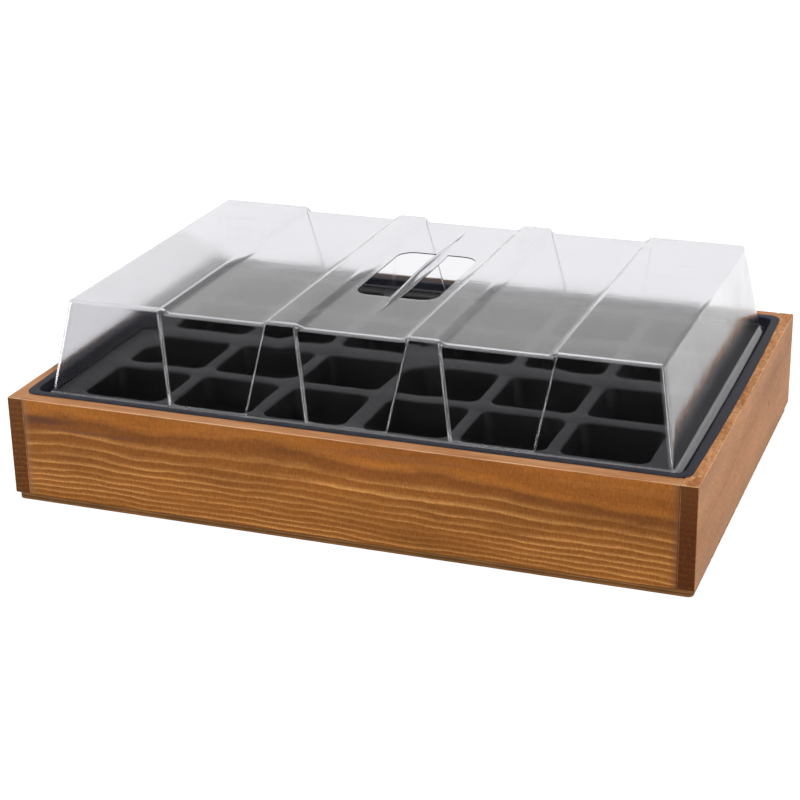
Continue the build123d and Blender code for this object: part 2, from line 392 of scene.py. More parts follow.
def black_sheet_material(name, base, roughness, gloss, seed):
    """Black formed sheet with a soft sheen, dust and faint scuffs."""
    made = new_material(name)
    cloud = noise(22.0, 4.0, 0.6, seed)
    dust = noise(900.0, 2.0, 0.7, seed + 2.0)
    scuff = noise((60.0, 900.0, 900.0), 3.0, 0.6, seed + 4.0)
    specks = ramp(dust, [(0.70, 0.0), (0.76, 1.0)])
    pale = tuple(value * 2.5 + 0.001 for value in base)
    colour = blend(ramp(cloud, [(0.35, 0.0), (0.75, 0.7)]), base, pale)
    worn = maths("MULTIPLY_ADD", scuff, 0.5, maths("MULTIPLY", cloud, 0.5))
    relief = maths("MULTIPLY_ADD", cloud, 4.0, maths("MULTIPLY", dust, 0.05))
    return finished(made, "BsdfPrincipled", {
        "Base Color": blend(maths("MULTIPLY", specks, 0.25), colour, DUST),
        "Roughness": scaled(worn, 0.3, 0.7, roughness - 0.05, roughness + 0.09),
        "Normal": bumped(relief, 0.25, 0.4), "IOR": 1.5, "Specular IOR Level": gloss})


def clear_sheet_material():
    """Clear formed sheet: glossy, faintly grey, softened by forming marks, haze and fine scratches.

    It is less glossy at the ends and the back, and where the steps at the front and the back turn over to
    the top.
    """
    made = new_material("dome_clear_sheet")
    forming = noise(26.0, 3.0, 0.5, 1.0)
    drawn = noise((14.0, 70.0, 70.0), 3.0, 0.55, 6.0)
    scratch = noise((40.0, 1500.0, 1500.0), 2.0, 0.5, 3.0)
    dust = add_node("TexVoronoi", {"Vector": place(), "Scale": 260.0}).outputs["Distance"]
    specks = ramp(dust, [(0.04, 1.0), (0.075, 0.0)])
    lines = ramp(scratch, [(0.725, 0.0), (0.75, 1.0)])
    relief = maths("MULTIPLY_ADD", forming, 1.0, maths("MULTIPLY", drawn, 0.6))
    axes = parts(place())
    at_ends = scaled(maths("ABSOLUTE", axes[0]), 0.168, 0.175)
    at_back = scaled(axes[1], 0.098, 0.108)
    facing = parts(add_node("NewGeometry").outputs["Normal"])
    leaning = ramp(maths("ABSOLUTE", facing[1]), [(0.25, 0.0), (0.45, 1.0)])
    upward = ramp(maths("ABSOLUTE", facing[2]), [(0.22, 0.0), (0.36, 1.0)])
    shine = scaled(forming, 0.3, 0.7, 0.04, 0.08)
    shine = maths("MULTIPLY_ADD", maths("MAXIMUM", at_ends, at_back), 0.055, shine)
    shine = maths("MULTIPLY_ADD", maths("MULTIPLY", leaning, upward), 0.2, shine)
    glass = result("BsdfPrincipled", {
        "Base Color": (0.838, 0.834, 0.858), "Roughness": shine, "Normal": bumped(relief, 0.22, 0.6),
        "IOR": 1.47, "Transmission Weight": 1.0})
    haze = result("BsdfDiffuse", {"Color": (0.86, 0.87, 0.88)})
    cover = maths("MULTIPLY_ADD", maths("MAXIMUM", specks, maths("MULTIPLY", lines, 0.5)), 0.10,
                  scaled(drawn, 0.3, 0.7, 0.0, 0.0015))
    hazed = result("MixShader", {0: cover, 1: glass, 2: haze})
    open_way = result("BsdfTransparent", {"Color": (0.9, 0.9, 0.91)})
    path = add_node("LightPath").outputs
    lets_light_by = maths("MAXIMUM", path["Is Shadow Ray"], path["Is Diffuse Ray"])
    return finished(made, "MixShader", {0: lets_light_by, 1: hazed, 2: open_way})


def steel_material():
    """Bright drawn steel of the pins."""
    made = new_material("pin_steel")
    drawn = noise((900.0, 900.0, 90.0), 3.0, 0.6, 1.0)
    return finished(made, "BsdfPrincipled", {
        "Base Color": ramp(drawn, [(0.3, (0.36, 0.36, 0.37)), (0.7, (0.62, 0.62, 0.63))]),
        "Roughness": scaled(drawn, 0.0, 1.0, 0.25, 0.45), "Metallic": 1.0})


def paper_material():
    """White paper floor that the camera, gloss and clear sheets see as white but for the object's shadow."""
    made = new_material("white_paper")
    paper = result("BsdfDiffuse", {"Color": ramp(noise(300.0, 2.0, 0.5, 1.0), [(0.2, 0.78), (0.8, 0.8)])})
    shaded = result("BsdfDiffuse", {"Color": SHADOW_SHARE})
    glow = result("Emission", {"Color": 1.0, "Strength": 1.0 - 0.5 * SHADOW_SHARE})
    seen = result("AddShader", {0: shaded, 1: glow})
    path = add_node("LightPath").outputs
    looked_at = maths("MAXIMUM", path["Is Camera Ray"],
                      maths("MAXIMUM", path["Is Glossy Ray"], path["Is Transmission Ray"]))
    return finished(made, "MixShader", {0: looked_at, 1: paper, 2: seen})


# Mesh helpers

ARC_STEPS = 8
SIDE_STEPS = 24
MERGE_DISTANCE = 0.02
BOW_FALL = 6


def linked_piece(name, mesh, material):
    """Object in the scene with this mesh and material."""
    mesh.materials.append(material)
    piece = bpy.data.objects.new(name, mesh)
    bpy.context.scene.collection.objects.link(piece)
    return piece


def mesh_piece(name, points, faces, material):
    """Object whose mesh has its points given in millimetres."""
    mesh = bpy.data.meshes.new(name)
    mesh.from_pydata([Vector(point) * MM for point in points], [], faces)
    return linked_piece(name, mesh, material)


@contextlib.contextmanager
def edited(piece):
    """The piece's mesh as a BMesh, put back after the edits."""
    shape = bmesh.new()
    shape.from_mesh(piece.data)
    yield shape
    shape.to_mesh(piece.data)
    shape.free()


def tidy_mesh(piece, sharp_angle=None):
    """Merges doubled points, points the faces outwards and shades them smooth."""
    with edited(piece) as shape:
        bmesh.ops.remove_doubles(shape, verts=shape.verts, dist=MERGE_DISTANCE * MM)
        bmesh.ops.recalc_face_normals(shape, faces=shape.faces)
        for face in shape.faces:
            face.smooth = True
        if sharp_angle is not None:
            for edge in shape.edges:
                if len(edge.link_faces) == 2 and edge.calc_face_angle() > sharp_angle:
                    edge.smooth = False


def applied(piece):
    """Turns the piece's modifiers into its mesh."""
    evaluated = piece.evaluated_get(bpy.context.evaluated_depsgraph_get())
    mesh = bpy.data.meshes.new_from_object(evaluated)
    piece.modifiers.clear()
    piece.data = mesh
    return piece


def thickened(piece, thickness, even=True):
    """Gives a sheet its thickness, measured down or inwards from the modelled face."""
    solid = piece.modifiers.new("sheet", "SOLIDIFY")
    solid.thickness = thickness * MM
    solid.offset = -1.0
    solid.use_even_offset = even
    solid.use_quality_normals = not even
    return applied(piece)


def quarter_turn(steps, start=0):
    """Sine and cosine at even steps of a quarter turn."""
    angles = [math.pi / 2 * step / steps for step in range(start, steps + 1)]
    return [(math.sin(angle), math.cos(angle)) for angle in angles]


def rounded_ring(half, inset, radius, height, bow=0.0, side_steps=1):
    """Points round a level rounded rectangle, its half sizes drawn in by inset; bow swells its ends.

    They run counter-clockwise from the front right corner.
    """
    half_length, half_depth = half[0] - inset, half[1] - inset
    arcs = []
    for side_x, side_y, start in ((1, -1, -90), (1, 1, 0), (-1, 1, 90), (-1, -1, 180)):
        angles = [math.radians(start + 90.0 * step / ARC_STEPS) for step in range(ARC_STEPS + 1)]
        arcs.append([(side_x * (half_length - radius) + radius * math.cos(angle),
                      side_y * (half_depth - radius) + radius * math.sin(angle)) for angle in angles])
    points = []
    for arc, after in zip(arcs, arcs[1:] + arcs[:1]):
        points += arc
        for step in range(1, side_steps):
            share = step / side_steps
            points.append(tuple(here + (there - here) * share for here, there in zip(arc[-1], after[0])))
    ring = []
    for x, y in points:
        swell = bow * (1.0 - min(1.0, abs(y) / half_depth) ** 2) * (abs(x) / half_length) ** BOW_FALL
        ring.append((x + math.copysign(swell, x), y, height))
    return ring


def loft(rings, close_last=False, close_first=False):
    """Points and faces of a skin through rings with equal counts."""
    points = [point for ring in rings for point in ring]
    count = len(rings[0])
    faces = []
    for row in range(len(rings) - 1):
        for index in range(count):
            after = (index + 1) % count
            faces.append((row * count + index, row * count + after,
                          (row + 1) * count + after, (row + 1) * count + index))
    if close_last:
        faces.append(tuple(range(len(points) - count, len(points))))
    if close_first:
        faces.append(tuple(reversed(range(count))))
    return points, faces


# Wooden box

BOARD_CUTS = 40
BOARD_EDGE_ROUND = 0.7
BOARD_UNEVENNESS = 0.06
BASE_RADIUS = 3.0
BASE_BITE = 0.10
BASE_SIDE_STEPS = 60
# Steps of the base's edge: (inset, rise above its underside) and (inset, rise above its top)
BASE_FOOT_PROFILE = ((0.35, 0.0), (0.08, 0.12), (0.0, 0.4))
BASE_TOP_PROFILE = ((0.0, -0.3), (0.1, -0.08), (0.3, 0.0))


def make_board(node, material):
    """Sawn board with eased, slightly uneven edges in the place of its CAD node."""
    lowest, highest = [Vector(corner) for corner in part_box(node)]
    size = highest - lowest
    shape = bmesh.new()
    bmesh.ops.create_cube(shape, size=1.0)
    for point in shape.verts:
        point.co = lowest + Vector((point.co[axis] + 0.5) * size[axis] for axis in range(3))
    longest = max(range(3), key=lambda axis: size[axis])
    runs = [edge for edge in shape.edges
            if abs((edge.verts[0].co - edge.verts[1].co)[longest]) > 0.5 * size[longest]]
    bmesh.ops.subdivide_edges(shape, edges=runs, cuts=BOARD_CUTS, use_grid_fill=True)
    for point in shape.verts:
        along = point.co[longest] / size[longest] * 9.0
        for axis in range(3):
            if axis != longest:
                waver = math.sin(along * 2.3 + axis * 1.7) * math.cos(along * 5.1 + axis)
                centre = (lowest[axis] + highest[axis]) / 2
                point.co[axis] -= math.copysign(BOARD_UNEVENNESS * MM * (1.0 + waver), point.co[axis] - centre)
    sharp = [edge for edge in shape.edges if len(edge.link_faces) == 2 and edge.calc_face_angle() > 0.6]
    bmesh.ops.bevel(shape, geom=sharp, offset=BOARD_EDGE_ROUND * MM, segments=3, profile=0.5, affect="EDGES")
    mesh = bpy.data.meshes.new(node + "_wood")
    shape.to_mesh(mesh)
    shape.free()
    piece = linked_piece(node + "_wood", mesh, material)
    tidy_mesh(piece, math.radians(35))
    flat_faces = piece.modifiers.new("flat_faces", "WEIGHTED_NORMAL")
    flat_faces.keep_sharp = True
    flat_faces.weight = 100
    applied(piece)
    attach(piece, "wooden_box")
    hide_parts(node)


def make_base(material):
    """Thin base board with rounded corners and a slightly broken edge."""
    lowest, highest = [Vector(corner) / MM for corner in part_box("base_board")]
    half = (highest - lowest) / 2
    shift = (highest.y + lowest.y) / 2
    rings = []
    for inset, height in ([(inset, lowest.z + rise) for inset, rise in BASE_FOOT_PROFILE]
                          + [(inset, highest.z + rise) for inset, rise in BASE_TOP_PROFILE]):
        jagged = []
        for index, (x, y, z) in enumerate(rounded_ring(half, inset, BASE_RADIUS, height, 0.0, BASE_SIDE_STEPS)):
            bite = BASE_BITE * (1 + math.sin(index * 2.7) * math.sin(index * 0.61 + height)) / math.hypot(x, y)
            jagged.append((x - x * bite, y - y * bite + shift, z))
        rings.append(jagged)
    points, faces = loft(rings, close_last=True, close_first=True)
    piece = mesh_piece("base_board_plywood", points, faces, material)
    tidy_mesh(piece, math.radians(40))
    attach(piece, "wooden_box")
    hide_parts("base_board")


# Drip tray

# Steps of the tray's section: lip and mouth (inset, drop below the rim), groove (inset, rise above its
# floor, bow), ledge (inset, rise above the groove's floor) and pan (inset, rise above its floor)
LIP_PROFILE = ((0.0, 0.35), (0.04, 0.15), (0.15, 0.05), (0.45, 0.0))
MOUTH_PROFILE = ((-0.9, 0.0), (-0.55, 0.05), (-0.3, 0.2), (-0.1, 0.5), (0.04, 1.0))
GROOVE_PROFILE = ((GROOVE_DRAFT * 0.55, 3.0, MOUTH_BOW), (GROOVE_DRAFT * 0.85, 1.0, MOUTH_BOW),
                  (GROOVE_DRAFT + 0.05, 0.35, MOUTH_BOW), (GROOVE_DRAFT + 0.45, 0.03, 0.3),
                  (GROOVE_DRAFT + 0.9, 0.0, 0.0))
LEDGE_PROFILE = ((-0.9, 0.0), (-0.3, -0.12), (0.1, -0.9))
PAN_PROFILE = ((PAN_DRAFT - 0.2, 2.4), (PAN_DRAFT + 0.6, 0.7), (PAN_DRAFT + 2.6, 0.0))


def make_tray(material):
    """Thin formed tray: turned-down lip, rim with bowed ends, groove, ledge and pan."""
    def outer(inset, height):
        return rounded_ring(RIM_HALF, inset, RIM_RADIUS - inset, height, RIM_END_BOW, SIDE_STEPS)

    def mouth(inset, height, bow):
        return rounded_ring(MOUTH_HALF, inset, max(2.0, GROOVE_RADIUS - inset * 0.4), height, bow, SIDE_STEPS)

    def pan(inset, height):
        return rounded_ring(MOUTH_HALF, GROOVE_DRAFT + LEDGE_WIDTH + inset, PAN_RADIUS, height, 0.0, SIDE_STEPS)

    rings = [outer(inset, RIM_TOP - drop) for inset, drop in LIP_PROFILE]
    rings += [mouth(inset, RIM_TOP - drop, MOUTH_BOW) for inset, drop in MOUTH_PROFILE]
    rings += [mouth(inset, GROOVE_FLOOR + rise, bow) for inset, rise, bow in GROOVE_PROFILE]
    rings += [pan(inset, GROOVE_FLOOR + rise) for inset, rise in LEDGE_PROFILE]
    rings += [pan(PAN_DRAFT * share, GROOVE_FLOOR + (PAN_FLOOR - GROOVE_FLOOR) * share)
              for share in (0.25, 0.5, 0.75)]
    rings += [pan(inset, PAN_FLOOR + rise) for inset, rise in PAN_PROFILE]
    points, faces = loft(rings, close_last=True)
    piece = mesh_piece("drip_tray_sheet", points, faces, material)
    tidy_mesh(piece)
    thickened(piece, TRAY_SHEET)
    tidy_mesh(piece, math.radians(50))
    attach(piece, "tray")
    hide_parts("drip_tray")


# Cell insert

def cell_size():
    """Length and depth of a cell's mouth."""
    bars = (CELL_COLUMNS - 2) * COLUMN_BAR + CENTRE_COLUMN_BAR
    row_bars = (CELL_ROWS - 2) * ROW_BAR + CENTRE_ROW_BAR
    return ((2 * (FIELD_HALF[0] - CELL_END_MARGIN) - bars) / CELL_COLUMNS,
            (2 * (FIELD_HALF[1] - CELL_SIDE_MARGIN) - row_bars) / CELL_ROWS)


def one_cell(material):
    """One sowing cell with a rounded mouth and floor, tapered walls and a drain slot, and its mouth's ring."""
    half = [size / 2 for size in cell_size()]

    def cell(inset, height, radius=CELL_RADIUS):
        return rounded_ring(half, inset, radius, height)

    rings = []
    for sine, cosine in quarter_turn(5):
        flare = CELL_MOUTH_ROUND * (1 - sine) * MOUTH_FLARE
        rings.append(cell(-flare, FIELD_TOP - CELL_MOUTH_ROUND * (1 - cosine), CELL_RADIUS + flare))
    for share in (0.12, 0.35, 0.6, 0.85):
        rings.append(cell(CELL_DRAFT * share, FIELD_TOP + (CELL_FLOOR - FIELD_TOP) * share))
    for step, (sine, cosine) in enumerate(quarter_turn(4, 1), 1):
        rings.append(cell(CELL_DRAFT - 0.4 + CELL_FLOOR_ROUND * (1 - cosine),
                          CELL_FLOOR + CELL_FLOOR_ROUND * (1 - sine), CELL_RADIUS - 0.4 * step))
    drain = []
    for x, y, _ in rings[-1]:
        reach = max(abs(x), abs(y)) / (DRAIN_SLOT / 2)
        drain.append((x / reach, y / reach, CELL_FLOOR))
    points, faces = loft(rings + [drain])
    return mesh_piece("cell_pattern", points, faces, material), rings[0]


def cell_grid_tree():
    """Node tree that sets a cell at each place of a grid whose two middle bars are wider."""
    tree = bpy.data.node_groups.new("cell_grid", "GeometryNodeTree")
    start_tree(tree)
    for name, kind in (("Geometry", "Geometry"), ("Cell", "Object"), ("Columns", "Int"), ("Rows", "Int"),
                       ("Column Pitch", "Float"), ("Row Pitch", "Float"), ("Centre Column Extra", "Float"),
                       ("Centre Row Extra", "Float"), ("Material", "Material")):
        tree.interface.new_socket(name, in_out="INPUT", socket_type="NodeSocket" + kind)
    tree.interface.new_socket("Geometry", in_out="OUTPUT", socket_type="NodeSocketGeometry")
    given = add_node("NodeGroupInput").outputs

    def along(index, count, pitch, extra):
        """Place of a cell along one direction, with half the extra bar on each side of the middle."""
        offset = maths("SUBTRACT", index, maths("MULTIPLY", maths("SUBTRACT", count, 1.0), 0.5))
        spread = maths("MULTIPLY", maths("SIGN", offset), maths("MULTIPLY", extra, 0.5))
        return maths("ADD", maths("MULTIPLY", offset, pitch), spread)

    places = result("GeometryNodePoints", {"Count": maths("MULTIPLY", given["Columns"], given["Rows"])})
    index = result("GeometryNodeInputIndex")
    column = maths("FLOORED_MODULO", index, given["Columns"])
    row = maths("FLOOR", maths("DIVIDE", maths("ADD", index, 0.01), given["Columns"]))
    middle = result("CombineXYZ", {
        0: along(column, given["Columns"], given["Column Pitch"], given["Centre Column Extra"]),
        1: along(row, given["Rows"], given["Row Pitch"], given["Centre Row Extra"])})
    placed = result("GeometryNodeSetPosition", {"Geometry": places, "Position": middle})
    pattern = add_node("GeometryNodeObjectInfo", {"Object": given["Cell"]}).outputs["Geometry"]
    copies = result("GeometryNodeInstanceOnPoints", {"Points": placed, "Instance": pattern})
    real = result("GeometryNodeRealizeInstances", {"Geometry": copies})
    painted = result("GeometryNodeSetMaterial", {"Geometry": real, "Material": given["Material"]})
    add_node("NodeGroupOutput", {0: painted})
    return tree


def set_tree_inputs(modifier, values):
    """Sets a node tree's inputs by the identifiers of its sockets."""
    for item in modifier.node_group.interface.items_tree:
        if item.in_out == "INPUT" and item.name in values:
            modifier[item.identifier] = values[item.name]


def cell_middles():
    """Middle of every cell on the field."""
    lines = []
    for count, size, bar, centre_bar in zip((CELL_COLUMNS, CELL_ROWS), cell_size(), (COLUMN_BAR, ROW_BAR),
                                            (CENTRE_COLUMN_BAR, CENTRE_ROW_BAR)):
        offsets = [index - (count - 1) / 2 for index in range(count)]
        lines.append([offset * (size + bar) + math.copysign((centre_bar - bar) / 2, offset)
                      for offset in offsets])
    return [(x, y) for x in lines[0] for y in lines[1]]


def make_insert(material):
    """Formed sheet of cells: a raised field with a turned-down edge and a grid of sowing cells."""
    length, depth = cell_size()
    cell, mouth = one_cell(material)
    grid = mesh_piece("cell_grid_holder", [(0, 0, 0)], [], material)
    modifier = grid.modifiers.new("cells", "NODES")
    modifier.node_group = cell_grid_tree()
    set_tree_inputs(modifier, {
        "Cell": cell, "Columns": CELL_COLUMNS, "Rows": CELL_ROWS,
        "Column Pitch": (length + COLUMN_BAR) * MM, "Row Pitch": (depth + ROW_BAR) * MM,
        "Centre Column Extra": (CENTRE_COLUMN_BAR - COLUMN_BAR) * MM,
        "Centre Row Extra": (CENTRE_ROW_BAR - ROW_BAR) * MM, "Material": material})
    applied(grid)

    def edge(inset, height):
        return rounded_ring(FIELD_HALF, inset, FIELD_RADIUS - inset * 0.6, height, 0.0, SIDE_STEPS)

    bend = FIELD_EDGE_ROUND
    rings = [edge(-FIELD_EDGE_DRAFT, GROOVE_FLOOR), edge(-0.3, GROOVE_FLOOR + 1.5)]
    rings += [edge(bend * (1 - cosine), FIELD_TOP - bend * (1 - sine)) for sine, cosine in quarter_turn(5)]
    points, faces = loft(rings)
    flat_points = [Vector(point[:2]) for point in rings[-1]]
    loops = [list(range(len(flat_points)))]
    for x, y in cell_middles():
        start = len(flat_points)
        flat_points += [Vector((x + point[0], y + point[1])) for point in mouth]
        loops.append(list(range(start, start + len(mouth))))
    edges = [(loop[index], loop[(index + 1) % len(loop)]) for loop in loops for index in range(len(loop))]
    solved = delaunay_2d_cdt(flat_points, edges, [], 0, 1e-5)
    start = len(points)
    points += [(point.x, point.y, FIELD_TOP) for point in solved[0]]
    for triangle in solved[2]:
        middle = sum((solved[0][index] for index in triangle), Vector((0.0, 0.0))) / len(triangle)
        if not inside_any_cell(middle) and inside_rounded(middle, FIELD_HALF, bend, FIELD_RADIUS - 0.6 * bend):
            faces.append(tuple(start + index for index in triangle))
    piece = mesh_piece("cell_insert_sheet", points, faces, material)
    with edited(piece) as shape:
        shape.from_mesh(grid.data)
    for helper in (cell, grid):
        bpy.data.objects.remove(helper)
    tidy_mesh(piece)
    upright(piece)
    thickened(piece, INSERT_SHEET)
    tidy_mesh(piece, math.radians(50))
    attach(piece, "insert")
    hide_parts("cell_insert")


def inside_rounded(point, half, inset, radius):
    """True inside a rounded rectangle centred on the origin, its half sizes drawn in by inset."""
    over = [max(0.0, abs(place) - (size - inset - radius)) for place, size in zip(point, half)]
    return math.hypot(*over) <= radius + 0.01


def inside_any_cell(point):
    """True inside the mouth of a cell."""
    flare = MOUTH_FLARE * CELL_MOUTH_ROUND
    half = [size / 2 for size in cell_size()]
    return any(inside_rounded((point[0] - x, point[1] - y), half, -flare, CELL_RADIUS + flare)
               for x, y in cell_middles())


def upright(piece):
    """Turns a sheet's faces so that its level parts face up."""
    with edited(piece) as shape:
        if sum(face.normal.z * face.calc_area() for face in shape.faces) < 0:
            bmesh.ops.reverse_faces(shape, faces=shape.faces)


# Dome

# Rounded step from a raised rib, 0, to a sunk panel, 1: (place across it in its own runs, share of the drop)
STEP_PROFILE = ((-0.45, 0.0), (-0.15, 0.02), (0.1, 0.14), (0.35, 0.34), (0.65, 0.66), (0.9, 0.86), (1.15, 0.98),
                (1.45, 1.0))
# Side of the ridge: (share of its half width, share of its height)
RIDGE_PROFILE = ((0.0, 1.0), (0.12, 0.985), (0.22, 0.93), (0.31, 0.8), (0.38, 0.62), (0.46, 0.38), (0.55, 0.16),
                 (0.72, 0.04), (1.0, 0.0))
# Turn from the foot to the skirt: (inset beyond the foot's lean, rise above the knee, tighter radius,
# share of the bow)
SKIRT_PROFILE = ((0.05, -0.3, 0.0, 1.0), (0.3, 0.1, 0.3, 1.0), (0.8, 0.45, 0.7, 1.0),
                 (2.6, SKIRT_HEIGHT - 0.45, 1.6, 0.8), (SKIRT_RUN - 0.15, SKIRT_HEIGHT - 0.12, 2.2, 0.6))
# Walls: (climb, share of the side step, share of the panels' drop, growth)
WALL_PROFILE = ((0.0, 0.0, 0.0, 0.25), (0.002, 0.85, 0.0, 0.1), (0.008, 1.0, 0.0, 0.02), (0.02, 1.0, 0.0, 0.0),
                *((share, 1.0, share, 0.0) for share in (0.12, 0.24, 0.36, 0.48, 0.6, 0.72, 0.84, 0.94, 1.0)))
DOME_ROW_GAPS = 26
PANEL_PITCH = 8.0
END_PITCH = 9.0
CORNER_ANGLES = (0, 22.5, 45)
# How far the ridge's columns fan out at the foot and at the top of the wall
RIDGE_FAN = (2.0, 1.4)
RIDGE_LEAST_WIDTH = 0.2
VENT_SIDE_GAPS = 12
VENT_FROM_RIDGE = 0.2
VENT_CUT_LEVELS = (DOME_TOP - TOP_STEP - 3.0, DOME_TOP + 1.0)


def dome_columns():
    """Columns across the dome: (x on the foot, x at the wall's top, x on the top face, share of the step)."""
    half_foot = WALL_HALF[0]
    half_top = half_foot - WALL_LEAN[0]
    columns = [(x * RIDGE_FAN[0], x * RIDGE_FAN[1], x, 1.0)
               for x in (share * RIDGE_WIDTH / 2 for share, _ in RIDGE_PROFILE)]
    for foot, top, side in (
            (RIB_CENTRE - RIB_FOOT_WIDTH / 2, RIB_CENTRE - RIB_TOP_WIDTH / 2, -1),
            (RIB_CENTRE + RIB_FOOT_WIDTH / 2, RIB_CENTRE + RIB_TOP_WIDTH / 2, 1),
            (half_foot - END_SECTION_FOOT, half_top - END_SECTION_TOP, -1)):
        step = []
        for offset, share in STEP_PROFILE[::side]:
            run = side * offset * SIDE_STEP_RUN
            step.append((foot + run, top + run, top + side * offset * TOP_STEP_RUN, share))
        columns = filled(columns, step[0], PANEL_PITCH) + step
    end_x, end_top = half_foot - DOME_RADIUS, half_top - DOME_RADIUS
    columns = filled(columns, (end_x, end_top, end_top, 0.0), END_PITCH)
    for reach in (DOME_RADIUS * math.sin(math.radians(angle)) for angle in CORNER_ANGLES):
        columns.append((end_x + reach, end_top + reach, end_top + reach, 0.0))
    return [(-foot, -top, -face, share) for foot, top, face, share in reversed(columns[1:])] + columns


def filled(columns, ahead, pitch):
    """Columns with even ones added up to the next given one."""
    last = columns[-1]
    count = max(1, round((ahead[2] - last[2]) / pitch))
    added = []
    for index in range(1, count):
        share = index / count
        added.append(tuple(a + (b - a) * share for a, b in zip(last[:3], ahead[:3])) + (ahead[3],))
    return columns + added


def dome_rows():
    """Rows along the end walls, each (y on the foot, y on the top)."""
    foot = WALL_HALF[1] - DOME_RADIUS
    top = foot - WALL_LEAN[1]
    shares = [2.0 * index / DOME_ROW_GAPS - 1.0 for index in range(DOME_ROW_GAPS + 1)]
    rows = [(share * foot, share * top) for share in shares]
    for reach in (DOME_RADIUS * math.sin(math.radians(angle)) for angle in CORNER_ANGLES[1:]):
        rows = [(-foot - reach, -top - reach)] + rows + [(foot + reach, top + reach)]
    return rows


def ridge_swell(y):
    """Width of the ridge as a share of its middle's, at a place along it."""
    return max(0.0, 1.0 - abs(2.0 * y / RIDGE_LENGTH) ** 3)


def ridge_climb(y):
    """Height of the ridge as a share of its middle's: a long hump, highest a little behind the middle."""
    return max(0.0, 1.0 - ((y - RIDGE_HIGHEST) / RIDGE_HUMP) ** 2) ** 1.5


def dome_ring(level, columns, rows, plan, climb=0.0, top_share=0.0, drop=0.0, step_share=0.0, swell=0.0):
    """One ring round the dome, front to right to back to left.

    plan is the half length, half depth and corner radius; climb runs from the crease, 0, to the top, 1;
    top_share moves the columns over to their places on the top face; drop is how far the sunk panels lie
    below this ring; step_share is how far they stand back in the side walls; swell bows the ends out.
    """
    half_length, half_depth, radius = plan
    corner = radius * (1 - math.sin(math.pi / 4))

    def on_wall(line):
        """Place of a column or row at this height of the wall."""
        return line[0] + (line[1] - line[0]) * climb

    def corner_in(distance, half):
        """How far the rounded corner draws a side in at a distance along it."""
        over = max(0.0, abs(distance) - (half - radius))
        return radius - math.sqrt(max(0.0, radius ** 2 - over ** 2))

    def side_point(column, side):
        x = on_wall(column) + (column[2] - on_wall(column)) * top_share
        x = x * (half_length - corner) / on_wall(columns[-1])
        y = half_depth - corner_in(x, half_length) - SIDE_STEP * step_share * column[3]
        return (x, side * y, level - drop * column[3])

    def end_point(row, side):
        y = on_wall(row) * (half_depth - corner) / on_wall(rows[-1])
        bowed = swell * (1.0 - (y / half_depth) ** 2)
        return (side * (half_length - corner_in(y, half_depth) + bowed), y, level)

    return ([side_point(column, -1) for column in columns[:-1]] + [end_point(row, 1) for row in rows[:-1]]
            + [side_point(column, 1) for column in reversed(columns[1:])]
            + [end_point(row, -1) for row in reversed(rows[1:])])


def vent_cutter(side):
    """Block that cuts one half of the vent beside the ridge."""
    half_length = VENT_LENGTH / 2
    outline = []
    for index in range(VENT_SIDE_GAPS + 1):
        y = -half_length + VENT_LENGTH * index / VENT_SIDE_GAPS
        outline.append(((RIDGE_WIDTH / 2 + side * RIDGE_SHIFT) * ridge_swell(y) + VENT_FROM_RIDGE, y))
    turn_x, turn_y = VENT_WIDTH / 2 - VENT_RADIUS, half_length - VENT_RADIUS
    turns = quarter_turn(8)
    outline += [(turn_x + VENT_RADIUS * sine, turn_y + VENT_RADIUS * cosine) for sine, cosine in turns]
    outline += [(turn_x + VENT_RADIUS * cosine, -turn_y - VENT_RADIUS * sine) for sine, cosine in turns]
    rings = [[(side * x, y, height) for x, y in outline] for height in VENT_CUT_LEVELS]
    points, faces = loft(rings, close_last=True, close_first=True)
    cutter = mesh_piece("vent_cutter", points, faces, bpy.data.materials["dome_clear_sheet"])
    tidy_mesh(cutter)
    return cutter


